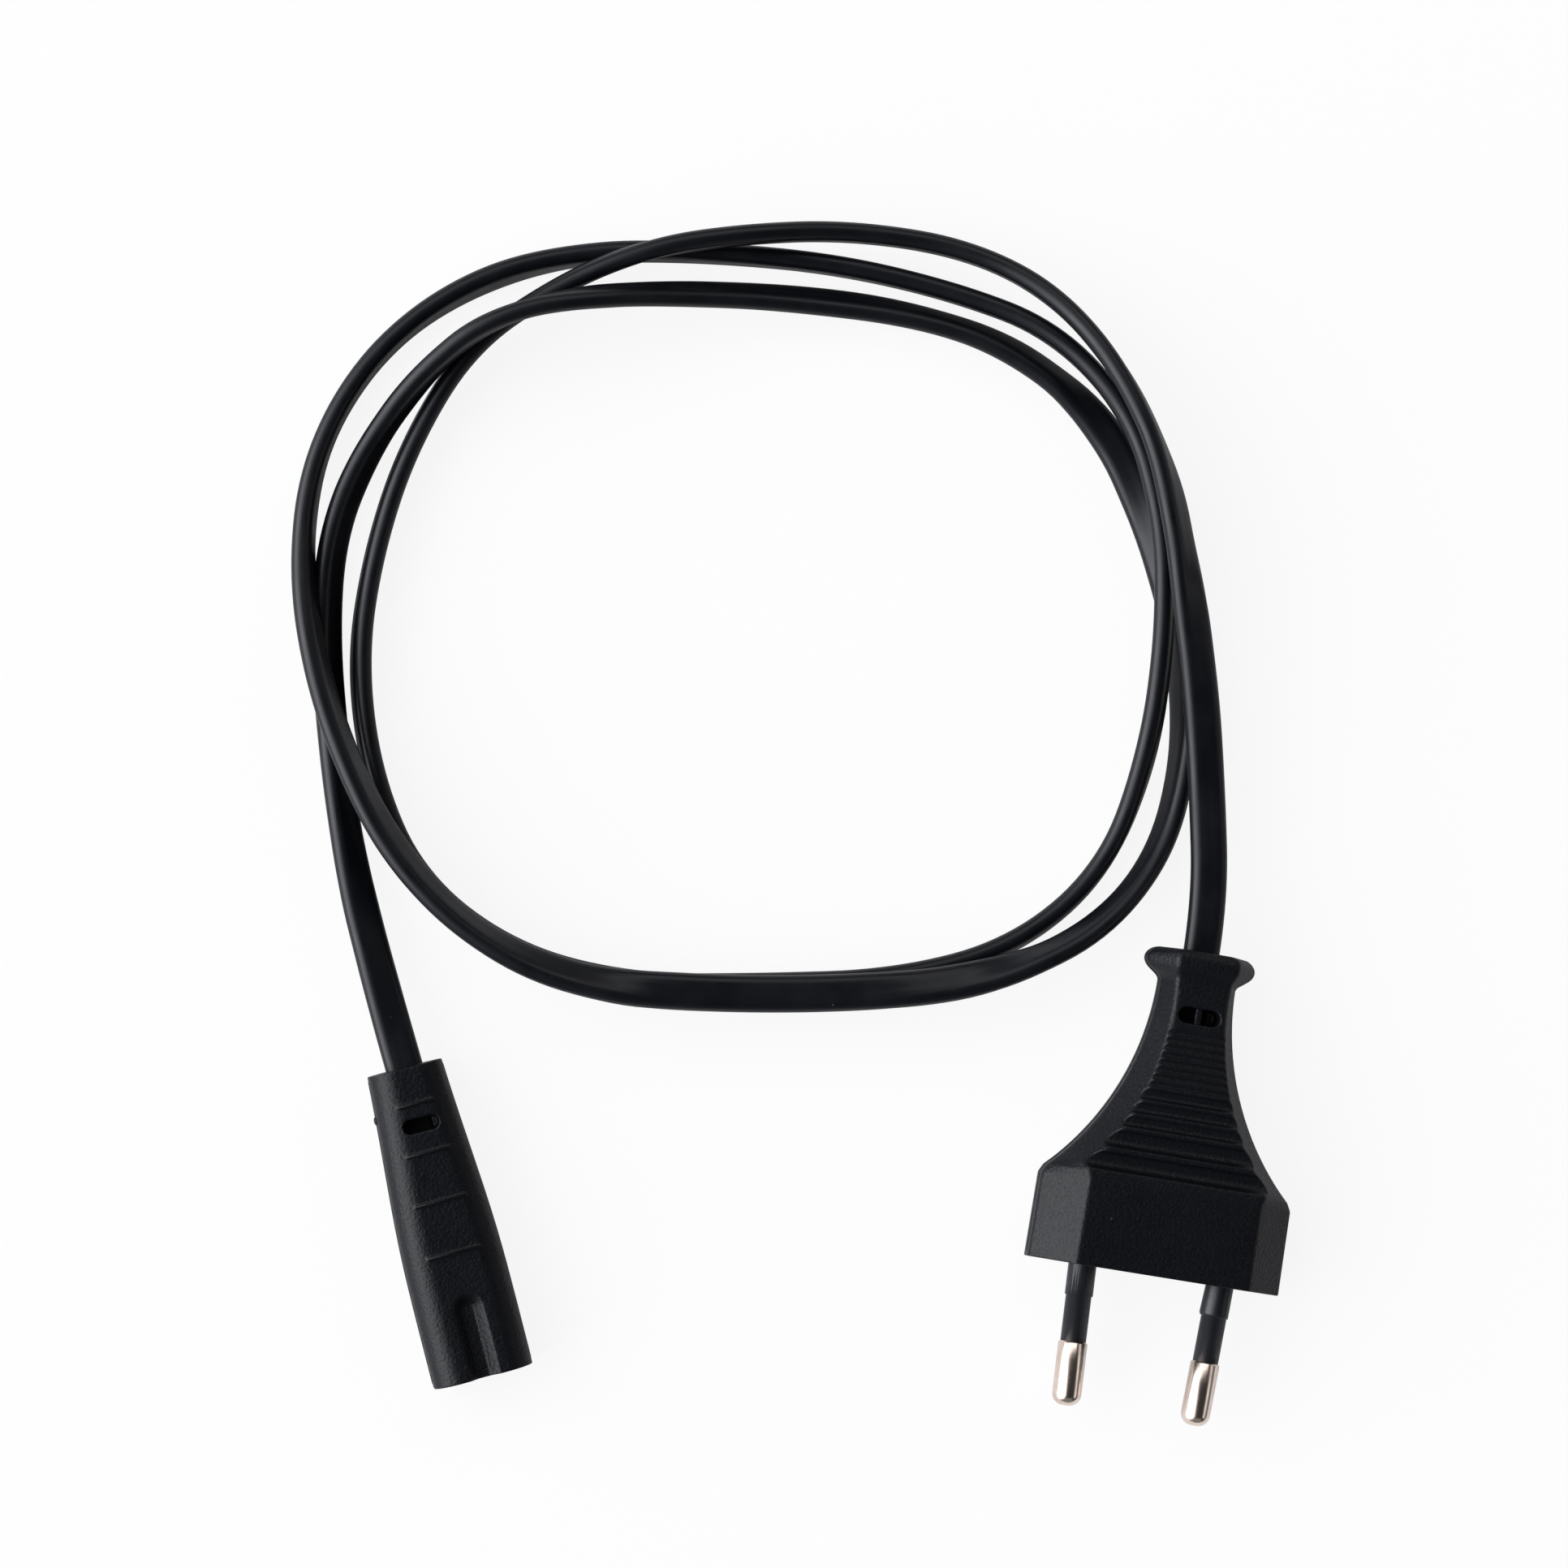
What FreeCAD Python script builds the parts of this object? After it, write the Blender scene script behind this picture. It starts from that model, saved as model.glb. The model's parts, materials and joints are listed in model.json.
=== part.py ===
"""Two-core mains lead with a moulded figure eight connector, in millimetres.

The connector lies on the surface z = 0 with its axis along Y, its front face towards -Y and the origin
under its middle. The flat flex leaves its rear, lies in loose turns and ends in a flat two-pin plug.
"""

import FreeCAD, Part
import math
import os

from FreeCAD import Placement, Rotation, Vector

# Connector body
body_length = 42.6
body_height = 8.2
face_width = 13.6
rear_width = 10.2
taper_length = 24.0
taper_ease = 0.3
side_radius = 3.7

# Raised lines across the top, each with its distance from the rear and its length
raised_lines = [(4.9, 5.1), (11.6, 6.1), (18.3, 7.1), (25.4, 7.5)]
raised_line_width = 0.35
raised_line_height = 0.15

# Keying groove along the middle of both flat sides, open at the front face
key_length = 11.4
key_width = 4.1
key_floor_width = 1.5
key_depth = 1.2

# Contacts for round inlet pins, and the hard carrier that holds them behind the front face
contact_pitch = 8.6
contact_bore_radius = 1.2
contact_bore_depth = 9.0
contact_sleeve_radius = 1.65
contact_sleeve_length = 10.5
contact_clearance = 0.05
contact_crimp_radius = 1.25
contact_crimp_length = 5.0
entry_radius = 1.45
entry_wall = 1.2
carrier_height = 4.2

# Flat flex: sheath, two insulated cores and their copper strands
sheath_width = 5.1
sheath_thickness = 2.6
core_pitch = 2.1
core_radius = 1.0
strand_radius = 0.6
strand_crimp_depth = 4.2
strip_gap = 1.0

# Windows that the mould's locating pins leave over the flex
connector_sheath_grip = 14.0
connector_window_from_rear = 7.8
connector_window_length = 5.0
connector_window_width = 1.9
plug_sheath_grip = 20.0
plug_window_from_face = 35.7
plug_window_length = 5.9
plug_window_width = 2.2
plug_window_bar_width = 0.9
plug_window_bar_recess = 0.7

# Plug body: a block with sloped sides, a waisted grip and a collar round the flex
plug_length = 44.5
block_width = 35.4
block_height = 13.7
block_length = 11.6
block_draft = 0.1
block_slope_width = 5.6
block_side_height = 3.0
shoulder_length = 2.2
shoulder_round_drop = 0.55
waist_from_face = 40.2
waist_width = 10.6
waist_height = 9.2
waist_slope_width = 1.5
waist_side_height = 2.2
grip_radius = 38.2
grip_start_height = 13.0
grip_start_slope_width = 3.6
grip_section_count = 6
collar_width = 15.3
collar_height = 11.6
collar_slope_width = 3.4
collar_rear_width = 12.4
collar_rear_height = 9.8
edge_radius = 0.9

# Ridged grip: three bands of grooves across both flat sides, closer from band to band towards the flex
groove_counts = [2, 3, 8]
groove_pitches = [3.15, 2.0, 1.05]
first_crest_from_face = 12.9
groove_width_share = 0.8
groove_depth_share = 0.3

# Plug pins, which lean together towards their tips, their sleeves and the bridge that holds them
pin_pitch = 19.4
pin_lean = 2.0
pin_length = 19.2
pin_radius = 2.0
pin_tip_radius = 1.6
pin_shoulder_chamfer = 0.3
pin_shank_radius = 1.3
pin_crimp_radius = 1.7
pin_crimp_length = 6.0
sleeve_length = 10.4
sleeve_radius = 1.65
sleeve_base_length = 4.2
sleeve_base_radius = 2.2
sleeve_flare = 0.5
sleeve_flare_run = 0.4
bridge_from_face = 3.0
bridge_length = 5.0
bridge_width = 27.0
bridge_height = 7.2

# Where the plug lies: the middle of its face on the surface, and its turn about Z
plug_face_x = 91.4
plug_face_y = -31.8
plug_turn = -23.9

# Route of the free flex between its two straight ends, from the connector round to the plug
connector_exit_run = 11.0
plug_exit_run = 8.0
arc_share = 0.45
flex_route = [
    (0.0, 49.0, 2.4), (1.5, 64.5, 2.1), (4.0, 79.5, 2.1), (8.5, 93.5, 2.2), (16.5, 104.0, 3.0),
    (26.5, 112.0, 6.6), (36.0, 116.0, 9.1), (47.5, 116.0, 9.8), (61.0, 114.0, 5.8), (77.5, 110.0, 2.3),
    (93.5, 104.0, 2.1), (106.5, 96.0, 2.1), (116.0, 83.5, 2.1), (119.0, 68.0, 2.1), (119.0, 51.5, 2.1),
    (115.5, 36.0, 2.2), (107.5, 22.5, 3.8), (94.0, 14.5, 6.5), (77.0, 13.0, 7.0), (60.0, 16.0, 7.0),
    (42.5, 20.5, 7.0), (26.0, 26.0, 7.0), (13.5, 35.5, 7.0), (5.5, 49.0, 7.1), (2.0, 64.5, 7.2),
    (1.5, 80.0, 6.4), (4.5, 95.0, 3.4), (11.0, 107.5, 2.2), (22.5, 117.5, 2.1), (37.0, 122.5, 2.1),
    (52.5, 122.5, 2.0), (68.5, 118.5, 2.0), (85.0, 113.0, 2.0), (100.0, 105.5, 2.3), (112.0, 97.0, 3.8),
    (119.0, 83.5, 6.1), (119.5, 68.0, 6.7), (116.0, 53.0, 6.3), (110.0, 37.0, 3.4), (100.0, 23.0, 2.2),
    (85.0, 16.0, 2.0), (68.0, 16.0, 2.0), (50.0, 20.0, 2.0), (32.5, 24.5, 2.0), (18.0, 32.5, 2.0),
    (8.0, 45.0, 2.0), (5.5, 60.0, 2.0), (7.5, 76.0, 2.0), (13.5, 90.0, 2.1), (21.5, 102.5, 2.4),
    (32.5, 113.5, 3.7), (45.5, 118.5, 4.4), (58.0, 120.5, 6.9), (71.5, 119.5, 6.7), (87.0, 117.0, 4.0),
    (102.5, 111.0, 3.4), (112.5, 102.0, 6.4), (118.0, 89.5, 9.9), (120.5, 75.0, 11.2), (119.5, 59.5, 11.0),
    (118.0, 44.0, 9.4), (115.5, 29.5, 7.9),
]

# Worked out from the sizes above
front = -body_length / 2
rear = body_length / 2
body_middle = body_height / 2
plug_middle = block_height / 2
carrier_length = entry_wall + contact_sleeve_length
contact_crimp_rear = front + carrier_length + contact_crimp_length
bridge_rear = bridge_from_face + bridge_length
pin_crimp_rear = bridge_rear + pin_crimp_length
grip_start = block_length + shoulder_length
sides = {"live": -1, "neutral": 1}
backwards = Vector(0, 1, 0)
sideways = Vector(1, 0, 0)
upwards = Vector(0, 0, 1)
past = 1.0


def rounded_outline(corners, radius):
    """Closed wire through the corners, each rounded by an arc of the radius."""
    arcs = []
    for i, corner in enumerate(corners):
        before = (corners[i - 1] - corner).normalize()
        after = (corners[(i + 1) % len(corners)] - corner).normalize()
        half_turn = (math.pi - before.getAngle(after)) / 2
        reach = radius * math.tan(half_turn)
        depth = radius / math.cos(half_turn) - radius
        inwards = (before + after).normalize()
        arcs.append((corner + before * reach, corner + inwards * depth, corner + after * reach))
    edges = []
    for i, (start, middle, end) in enumerate(arcs):
        edges.append(Part.Arc(start, middle, end).toShape())
        edges.append(Part.LineSegment(end, arcs[(i + 1) % len(arcs)][0]).toShape())
    return Part.Wire(edges)


def rounded_path(points):
    """Wire of straight runs along the points, joined by tangent arcs, and the radii of the arcs."""
    edges, radii = [], []
    last = points[0]
    for before, corner, after in zip(points, points[1:], points[2:]):
        back, on = before - corner, after - corner
        reach = arc_share * min(back.Length, on.Length)
        half_turn = (math.pi - back.getAngle(on)) / 2
        radius = reach / math.tan(half_turn)
        depth = radius / math.cos(half_turn) - radius
        start = corner + back.normalize() * reach
        end = corner + on.normalize() * reach
        middle = corner + (back + on).normalize() * depth
        edges.append(Part.LineSegment(last, start).toShape())
        edges.append(Part.Arc(start, middle, end).toShape())
        radii.append(radius)
        last = end
    edges.append(Part.LineSegment(last, points[-1]).toShape())
    return Part.Wire(edges), radii


def tube(points, radius):
    """Round solid along the points."""
    path, radii = rounded_path(points)
    ring = Part.Wire(Part.Circle(points[0], points[1] - points[0], radius).toShape())
    return path.makePipeShell([ring], True, False), path.Length, radii


def stadium_prism(centre, long_axis, short_axis, length, width, run):
    """Solid with a round-ended oblong section, extruded along run."""
    half = long_axis * ((length - width) / 2)
    offset = short_axis * (width / 2)
    bulge = long_axis * (width / 2)
    edges = [
        Part.LineSegment(centre - half + offset, centre + half + offset).toShape(),
        Part.Arc(centre + half + offset, centre + half + bulge, centre + half - offset).toShape(),
        Part.LineSegment(centre + half - offset, centre - half - offset).toShape(),
        Part.Arc(centre - half - offset, centre - half - bulge, centre - half + offset).toShape(),
    ]
    return Part.Face(Part.Wire(edges)).extrude(run)


def rod(radius, length, base):
    """Cylinder that runs backwards, towards +Y, from its base."""
    return Part.makeCylinder(radius, length, base, backwards)


def fused(shapes):
    """One solid of shapes that touch or overlap."""
    return shapes[0].multiFuse(shapes[1:]).removeSplitter()


# Connector

def contact_seat(side):
    """Point on a contact's axis in the plane of the front face."""
    return Vector(side * contact_pitch / 2, front, body_middle)


def carrier_block():
    """Outside of the contact carrier, flush with the front face."""
    centre = Vector(0, front, body_middle)
    width = contact_pitch + carrier_height
    return stadium_prism(centre, sideways, upwards, width, carrier_height, backwards * carrier_length)


def contact_carrier():
    """Hard insert with an entry hole and a cavity for each contact."""
    cuts = []
    for side in sides.values():
        seat = contact_seat(side)
        cavity = contact_sleeve_radius + contact_clearance
        cuts.append(rod(entry_radius, entry_wall, seat))
        cuts.append(rod(cavity, contact_sleeve_length, seat + backwards * entry_wall))
    return carrier_block().cut(cuts)


def contact_crimp(side):
    """Outside of a contact's crimp barrel, behind the carrier."""
    return rod(contact_crimp_radius, contact_crimp_length, contact_seat(side) + backwards * carrier_length)


def contact(side):
    """Turned socket contact with a crimp barrel behind it."""
    start = contact_seat(side) + backwards * entry_wall
    sleeve = rod(contact_sleeve_radius, contact_sleeve_length, start)
    socket = rod(contact_bore_radius, contact_bore_depth, start)
    return fused([sleeve, contact_crimp(side)]).cut([socket, connector_strands(side)])


def connector_strands(side):
    """Bare copper between the core's insulation and the bottom of the crimp."""
    seat = contact_seat(side)
    start = Vector(seat.x, contact_crimp_rear - strand_crimp_depth, seat.z)
    return rod(strand_radius, strand_crimp_depth + strip_gap, start)


def connector_core(side):
    """Insulated core from the rear of the body to its crimp."""
    in_sheath = side * core_pitch / 2
    at_contact = side * contact_pitch / 2
    split = rear - connector_sheath_grip
    end = contact_crimp_rear + strip_gap
    bend = (split - end) / 5
    points = [
        Vector(in_sheath, rear, body_middle),
        Vector(in_sheath, split - bend, body_middle),
        Vector(at_contact, end + bend, body_middle),
        Vector(at_contact, end, body_middle),
    ]
    return tube(points, core_radius)[0]


def connector_sheath():
    """Outside of the flat sheath inside the connector body."""
    start = Vector(0, rear - connector_sheath_grip, body_middle)
    run = backwards * connector_sheath_grip
    return stadium_prism(start, sideways, upwards, sheath_width, sheath_thickness, run)


def connector_sheath_end():
    """Flat sheath inside the connector body, with a bore for each core."""
    return connector_sheath().cut([connector_core(side) for side in sides.values()])


def body_hull():
    """Outside of the connector body: a plan that widens from the flex, with round sides all along."""
    taper_width = face_width - taper_ease
    stations = [
        (0, rear_width),
        (taper_length / 2, (rear_width + taper_width) / 2),
        (taper_length, taper_width),
        ((taper_length + body_length) / 2, face_width),
        (body_length, face_width),
    ]
    edges, corners = [], []
    for side in sides.values():
        points = [Vector(side * width / 2, rear - from_rear, 0) for from_rear, width in stations]
        curve = Part.BSplineCurve()
        curve.interpolate(points)
        edges.append(curve.toShape())
        corners.append((points[0], points[-1]))
    (left_rear, left_front), (right_rear, right_front) = corners
    edges.append(Part.LineSegment(left_rear, right_rear).toShape())
    edges.append(Part.LineSegment(left_front, right_front).toShape())
    plan = Part.Face(Part.Wire(Part.__sortEdges__(edges)))
    block = plan.extrude(upwards * body_height)
    long_edges = [edge for edge in block.Edges if edge.BoundBox.YLength > body_length / 2]
    return block.makeFillet(side_radius, long_edges)


def body_lines():
    """Raised lines on the top, sunk a little into it."""
    bars = []
    for from_rear, length in raised_lines:
        y = rear - from_rear - raised_line_width / 2
        corner = Vector(-length / 2, y, body_height - raised_line_height)
        bars.append(Part.makeBox(length, raised_line_width, 2 * raised_line_height, corner))
    return bars


def key_groove():
    """Cutter of the groove in the top: sloped walls, a flat floor and a round inner end."""
    floor = body_height - key_depth
    start = front - past
    end = front + key_length - key_width / 2
    corners = [
        Vector(-key_width / 2, start, body_height + past),
        Vector(-key_width / 2, start, body_height),
        Vector(-key_floor_width / 2, start, floor),
        Vector(key_floor_width / 2, start, floor),
        Vector(key_width / 2, start, body_height),
        Vector(key_width / 2, start, body_height + past),
    ]
    run = Part.Face(Part.makePolygon(corners + corners[:1])).extrude(backwards * (end - start))
    cone = Part.makeCone(key_floor_width / 2, key_width / 2, key_depth, Vector(0, end, floor))
    mouth = Part.makeCylinder(key_width / 2, past, Vector(0, end, body_height))
    return fused([run, cone, mouth])


def connector_window():
    """Cutter of the oblong window from the top down to the sheath."""
    floor = body_middle + sheath_thickness / 2
    centre = Vector(0, rear - connector_window_from_rear, floor)
    run = upwards * (body_height + past - floor)
    return stadium_prism(centre, sideways, backwards, connector_window_length, connector_window_width, run)


def on_both_faces(cutter, middle):
    """A cutter of the top and its mirror image underneath."""
    return [cutter, cutter.mirror(Vector(0, 0, middle), upwards)]


def connector_body():
    """Soft body moulded round everything inside the connector."""
    cuts = [carrier_block(), connector_sheath()]
    for side in sides.values():
        cuts += [contact_crimp(side), connector_strands(side), connector_core(side)]
    cuts += on_both_faces(key_groove(), body_middle)
    cuts += on_both_faces(connector_window(), body_middle)
    return fused([body_hull()] + body_lines()).cut(cuts)


# Plug, made with the middle of its face at x = 0, y = 0 and its pins towards -Y

def plug_section(y, width, height, slope_width, side_height):
    """Eight-sided section of the plug body with rounded corners."""
    side, top = side_height / 2, height / 2
    edge, flat = width / 2, width / 2 - slope_width
    quarter = [(edge, side), (flat, top)]
    outline = quarter + [(-x, z) for x, z in reversed(quarter)]
    outline += [(-x, -z) for x, z in quarter] + [(x, -z) for x, z in reversed(quarter)]
    return rounded_outline([Vector(x, y, plug_middle + z) for x, z in outline], edge_radius)


def grip_width(y):
    """Width of the grip, which a large arc draws in towards the waist."""
    return waist_width + 2 * (grip_radius - math.sqrt(grip_radius**2 - (waist_from_face - y) ** 2))


def along_grip(y, at_start, at_waist):
    """Value that changes evenly from the grip's start to its waist."""
    return at_start + (at_waist - at_start) * (y - grip_start) / (waist_from_face - grip_start)


def grip_section(y):
    """Section of the grip between the block's shoulder and the waist."""
    return plug_section(
        y,
        grip_width(y),
        along_grip(y, grip_start_height, waist_height),
        along_grip(y, grip_start_slope_width, waist_slope_width),
        along_grip(y, block_side_height, waist_side_height),
    )


def plug_block():
    """Front block and the rounded shoulder behind it."""
    end_width = block_width - 2 * block_draft
    round_y = block_length + shoulder_length / 2
    round_width = (end_width + grip_width(grip_start)) / 2 + shoulder_round_drop
    round_height = (block_height + grip_start_height) / 2 + shoulder_round_drop / 4
    round_slope = (block_slope_width + grip_start_slope_width) / 2
    face = plug_section(0, block_width, block_height, block_slope_width, block_side_height)
    end = plug_section(block_length, end_width, block_height, block_slope_width, block_side_height)
    shoulder = plug_section(round_y, round_width, round_height, round_slope, block_side_height)
    return Part.makeLoft([face, end, shoulder, grip_section(grip_start)], True, True)


def plug_grip():
    """Waisted grip between the shoulder and the collar."""
    span = (waist_from_face - grip_start) / grip_section_count
    sections = [grip_section(grip_start + k * span) for k in range(grip_section_count)]
    return Part.makeLoft(sections + [grip_section(waist_from_face)], True, False)


def plug_collar():
    """Rounded collar that flares out round the flex."""
    run = plug_length - waist_from_face

    def station(share, swell):
        return plug_section(
            waist_from_face + share * run,
            waist_width + swell * (collar_width - waist_width),
            waist_height + swell * (collar_height - waist_height),
            waist_slope_width + swell * (collar_slope_width - waist_slope_width),
            waist_side_height,
        )

    rear_section = plug_section(
        plug_length, collar_rear_width, collar_rear_height, collar_slope_width, waist_side_height
    )
    swells = [(0.18, 0.3), (0.4, 0.82), (0.6, 1.0), (0.82, 0.88)]
    stations = [grip_section(waist_from_face)] + [station(*swell) for swell in swells] + [rear_section]
    return Part.makeLoft(stations, True, False)


def grip_grooves():
    """Round-bottomed cutters across the top of the grip."""
    cutters = []
    crest = first_crest_from_face
    for count, pitch in zip(groove_counts, groove_pitches):
        width, depth = groove_width_share * pitch, groove_depth_share * pitch
        radius = (width**2 / 4 + depth**2) / (2 * depth)
        for _ in range(count):
            y = crest + pitch / 2
            top = plug_middle + along_grip(max(y, grip_start), grip_start_height, waist_height) / 2
            base = Vector(-block_width / 2, y, top - depth + radius)
            cutters.append(Part.makeCylinder(radius, block_width, base, sideways))
            crest += pitch
    return cutters


def plug_window():
    """Cutter of the window down to the sheath, with a recessed bar left across its middle."""
    floor = plug_middle + sheath_thickness / 2
    top = plug_middle + along_grip(plug_window_from_face, grip_start_height, waist_height) / 2
    centre = Vector(0, plug_window_from_face, floor)
    run = upwards * (top + past - floor)
    slot = stadium_prism(centre, sideways, backwards, plug_window_length, plug_window_width, run)
    corner = Vector(-plug_window_bar_width / 2, plug_window_from_face - plug_window_width, floor - past)
    bar_height = top - plug_window_bar_recess - corner.z
    return slot.cut(Part.makeBox(plug_window_bar_width, 2 * plug_window_width, bar_height, corner))


def on_pin_axis(shape, side):
    """A shape made along Y, leaned and moved to one of the pins."""
    lean = Rotation(upwards, -side * pin_lean)
    shape = shape.copy()
    shape.Placement = Placement(Vector(side * pin_pitch / 2, 0, plug_middle), lean)
    return shape


def pin_point(side, from_face):
    """Point on a pin's axis at a distance behind the plug's face."""
    return on_pin_axis(Part.Vertex(0, from_face, 0), side).Point


def pin(side):
    """Turned pin: rounded contact end, shank under the sleeve and crimp barrel inside the body."""
    tip, neck = -pin_length, -sleeve_length
    round_end = pin_radius - pin_tip_radius
    slant = pin_tip_radius * math.sqrt(0.5)
    bend = Vector(round_end + slant, tip + pin_tip_radius - slant, 0)
    outline = [
        (pin_radius, neck - pin_shoulder_chamfer),
        (pin_radius - pin_shoulder_chamfer, neck),
        (pin_shank_radius, neck),
        (pin_shank_radius, bridge_rear),
        (pin_crimp_radius, bridge_rear),
        (pin_crimp_radius, pin_crimp_rear),
        (0, pin_crimp_rear),
        (0, tip),
        (round_end, tip),
    ]
    outline = [Vector(x, y, 0) for x, y in outline]
    tip_start = Vector(pin_radius, tip + pin_tip_radius, 0)
    edges = [Part.LineSegment(a, b).toShape() for a, b in zip(outline, outline[1:])]
    edges.append(Part.Arc(outline[-1], bend, tip_start).toShape())
    edges.append(Part.LineSegment(tip_start, outline[0]).toShape())
    turned = Part.Face(Part.Wire(edges)).revolve(Vector(0, 0, 0), backwards, 360)
    return on_pin_axis(turned, side).cut(plug_strands(side))


def sleeve_outside(side):
    """Outside of a pin's sleeve: a thicker base, flared inwards on the neutral side, and a slim end."""
    base_end = -sleeve_base_length
    flare = sleeve_flare if side == sides["neutral"] else 0.0

    def ring(y, extra):
        centre = Vector(-extra / 2, y, 0)
        return Part.Wire(Part.Circle(centre, backwards, sleeve_base_radius + extra / 2).toShape())

    hidden = rod(sleeve_base_radius, bridge_from_face, Vector(0, 0, 0))
    rings = [ring(0, 0.0), ring(base_end + sleeve_flare_run, flare), ring(base_end, 0.0)]
    base = Part.makeLoft(rings, True, True)
    slim = rod(sleeve_radius, sleeve_length, Vector(0, -sleeve_length, 0))
    return on_pin_axis(fused([hidden, base, slim]), side)


def pin_sleeve(side):
    """Insulating sleeve moulded on the pin's shank."""
    shank = rod(pin_shank_radius, sleeve_length + bridge_rear, Vector(0, -sleeve_length, 0))
    return sleeve_outside(side).cut(on_pin_axis(shank, side))


def bridge_block():
    """Outside of the bar that holds both pins."""
    centre = Vector(0, bridge_from_face, plug_middle)
    return stadium_prism(centre, sideways, upwards, bridge_width, bridge_height, backwards * bridge_length)


def pin_bridge():
    """Hard bar moulded round both pins behind the plug's face."""
    cuts = []
    for side in sides.values():
        cuts += [pin(side), sleeve_outside(side)]
    return bridge_block().cut(cuts)


def plug_strands(side):
    """Bare copper between the core's insulation and the bottom of the pin's crimp."""
    start = Vector(0, pin_crimp_rear - strand_crimp_depth, 0)
    return on_pin_axis(rod(strand_radius, strand_crimp_depth + strip_gap, start), side)


def plug_core(side):
    """Insulated core from the rear of the plug to its pin."""
    in_sheath = side * core_pitch / 2
    split = plug_length - plug_sheath_grip
    end = pin_crimp_rear + strip_gap
    bend = (split - end) / 3
    points = [
        Vector(in_sheath, plug_length, plug_middle),
        Vector(in_sheath, split - bend / 3, plug_middle),
        pin_point(side, end + bend),
        pin_point(side, end),
    ]
    return tube(points, core_radius)[0]


def plug_sheath():
    """Outside of the flat sheath inside the plug body."""
    start = Vector(0, plug_length - plug_sheath_grip, plug_middle)
    run = backwards * plug_sheath_grip
    return stadium_prism(start, sideways, upwards, sheath_width, sheath_thickness, run)


def plug_sheath_end():
    """Flat sheath inside the plug body, with a bore for each core."""
    return plug_sheath().cut([plug_core(side) for side in sides.values()])


def plug_body():
    """Soft body moulded round everything inside the plug."""
    hull = fused([plug_block(), plug_grip(), plug_collar()])
    cuts = [bridge_block(), plug_sheath()]
    for side in sides.values():
        cuts += [pin(side), sleeve_outside(side), plug_strands(side), plug_core(side)]
    for groove in grip_grooves():
        cuts += on_both_faces(groove, plug_middle)
    cuts += on_both_faces(plug_window(), plug_middle)
    return hull.cut(cuts)


# Flex

plug_place = Placement(Vector(plug_face_x, plug_face_y, 0), Rotation(upwards, plug_turn))


def flex():
    """Free length of the flex as a plain round tube of the flat sheath's own section area."""
    section = sheath_thickness * (sheath_width - sheath_thickness) + math.pi * sheath_thickness**2 / 4
    radius = math.sqrt(section / math.pi)
    from_connector = Vector(0, rear, body_middle)
    from_plug = plug_place.multVec(Vector(0, plug_length, plug_middle))
    out_of_plug = plug_place.multVec(Vector(0, plug_length + plug_exit_run, plug_middle))
    points = [from_connector, from_connector + backwards * connector_exit_run]
    points += [Vector(*point) for point in flex_route]
    points += [out_of_plug, from_plug]
    solid, length, radii = tube(points, radius)
    print("flex length", round(length, 1), "tube radius", round(radius, 3))
    print("flex volume over section times length", round(solid.Volume / (section * length), 5))
    print("flex arc radii", [round(r, 1) for r in radii])
    return solid


def lay_plug(shape):
    """A plug piece where the plug lies."""
    shape = shape.copy()
    shape.Placement = plug_place.multiply(shape.Placement)
    return shape


def pieces():
    """Every piece of the lead by name, in its place."""
    made = {
        "connector_body": connector_body(),
        "contact_carrier": contact_carrier(),
        "connector_sheath_end": connector_sheath_end(),
        "flex": flex(),
        "plug_body": lay_plug(plug_body()),
        "pin_bridge": lay_plug(pin_bridge()),
        "plug_sheath_end": lay_plug(plug_sheath_end()),
    }
    for name, side in sides.items():
        made[name + "_contact"] = contact(side)
        made["connector_" + name + "_core"] = connector_core(side)
        made["connector_" + name + "_strands"] = connector_strands(side)
        made[name + "_pin"] = lay_plug(pin(side))
        made[name + "_pin_sleeve"] = lay_plug(pin_sleeve(side))
        made["plug_" + name + "_core"] = lay_plug(plug_core(side))
        made["plug_" + name + "_strands"] = lay_plug(plug_strands(side))
    return made


os.makedirs("parts", exist_ok=True)
for node, shape in pieces().items():
    shape.exportStep("parts/" + node + ".step")
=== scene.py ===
"""Dressed model of a figure eight power connector on its flat mains lead, in metres."""

import json
import math

import bmesh
import bpy
from mathutils import Matrix, Vector

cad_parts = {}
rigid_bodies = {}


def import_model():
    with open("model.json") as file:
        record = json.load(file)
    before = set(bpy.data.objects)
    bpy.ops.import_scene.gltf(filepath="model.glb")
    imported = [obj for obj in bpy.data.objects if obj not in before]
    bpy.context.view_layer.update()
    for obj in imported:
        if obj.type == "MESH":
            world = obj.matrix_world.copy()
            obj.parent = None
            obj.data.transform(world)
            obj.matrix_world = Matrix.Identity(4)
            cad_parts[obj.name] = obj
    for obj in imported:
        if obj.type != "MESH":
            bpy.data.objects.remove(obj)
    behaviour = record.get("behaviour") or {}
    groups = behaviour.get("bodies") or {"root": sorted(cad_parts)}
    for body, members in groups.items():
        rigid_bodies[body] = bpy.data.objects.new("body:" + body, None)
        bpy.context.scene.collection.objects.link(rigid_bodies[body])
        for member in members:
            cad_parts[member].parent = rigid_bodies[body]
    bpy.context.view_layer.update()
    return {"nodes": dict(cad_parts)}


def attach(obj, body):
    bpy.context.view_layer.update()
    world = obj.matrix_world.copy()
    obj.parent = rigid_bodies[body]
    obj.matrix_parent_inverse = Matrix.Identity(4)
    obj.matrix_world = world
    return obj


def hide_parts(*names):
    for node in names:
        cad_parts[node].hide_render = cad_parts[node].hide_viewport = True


for obj in list(bpy.data.objects):
    bpy.data.objects.remove(obj)

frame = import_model()
scene = bpy.context.scene
scene.view_settings.view_transform = "Standard"

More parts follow.
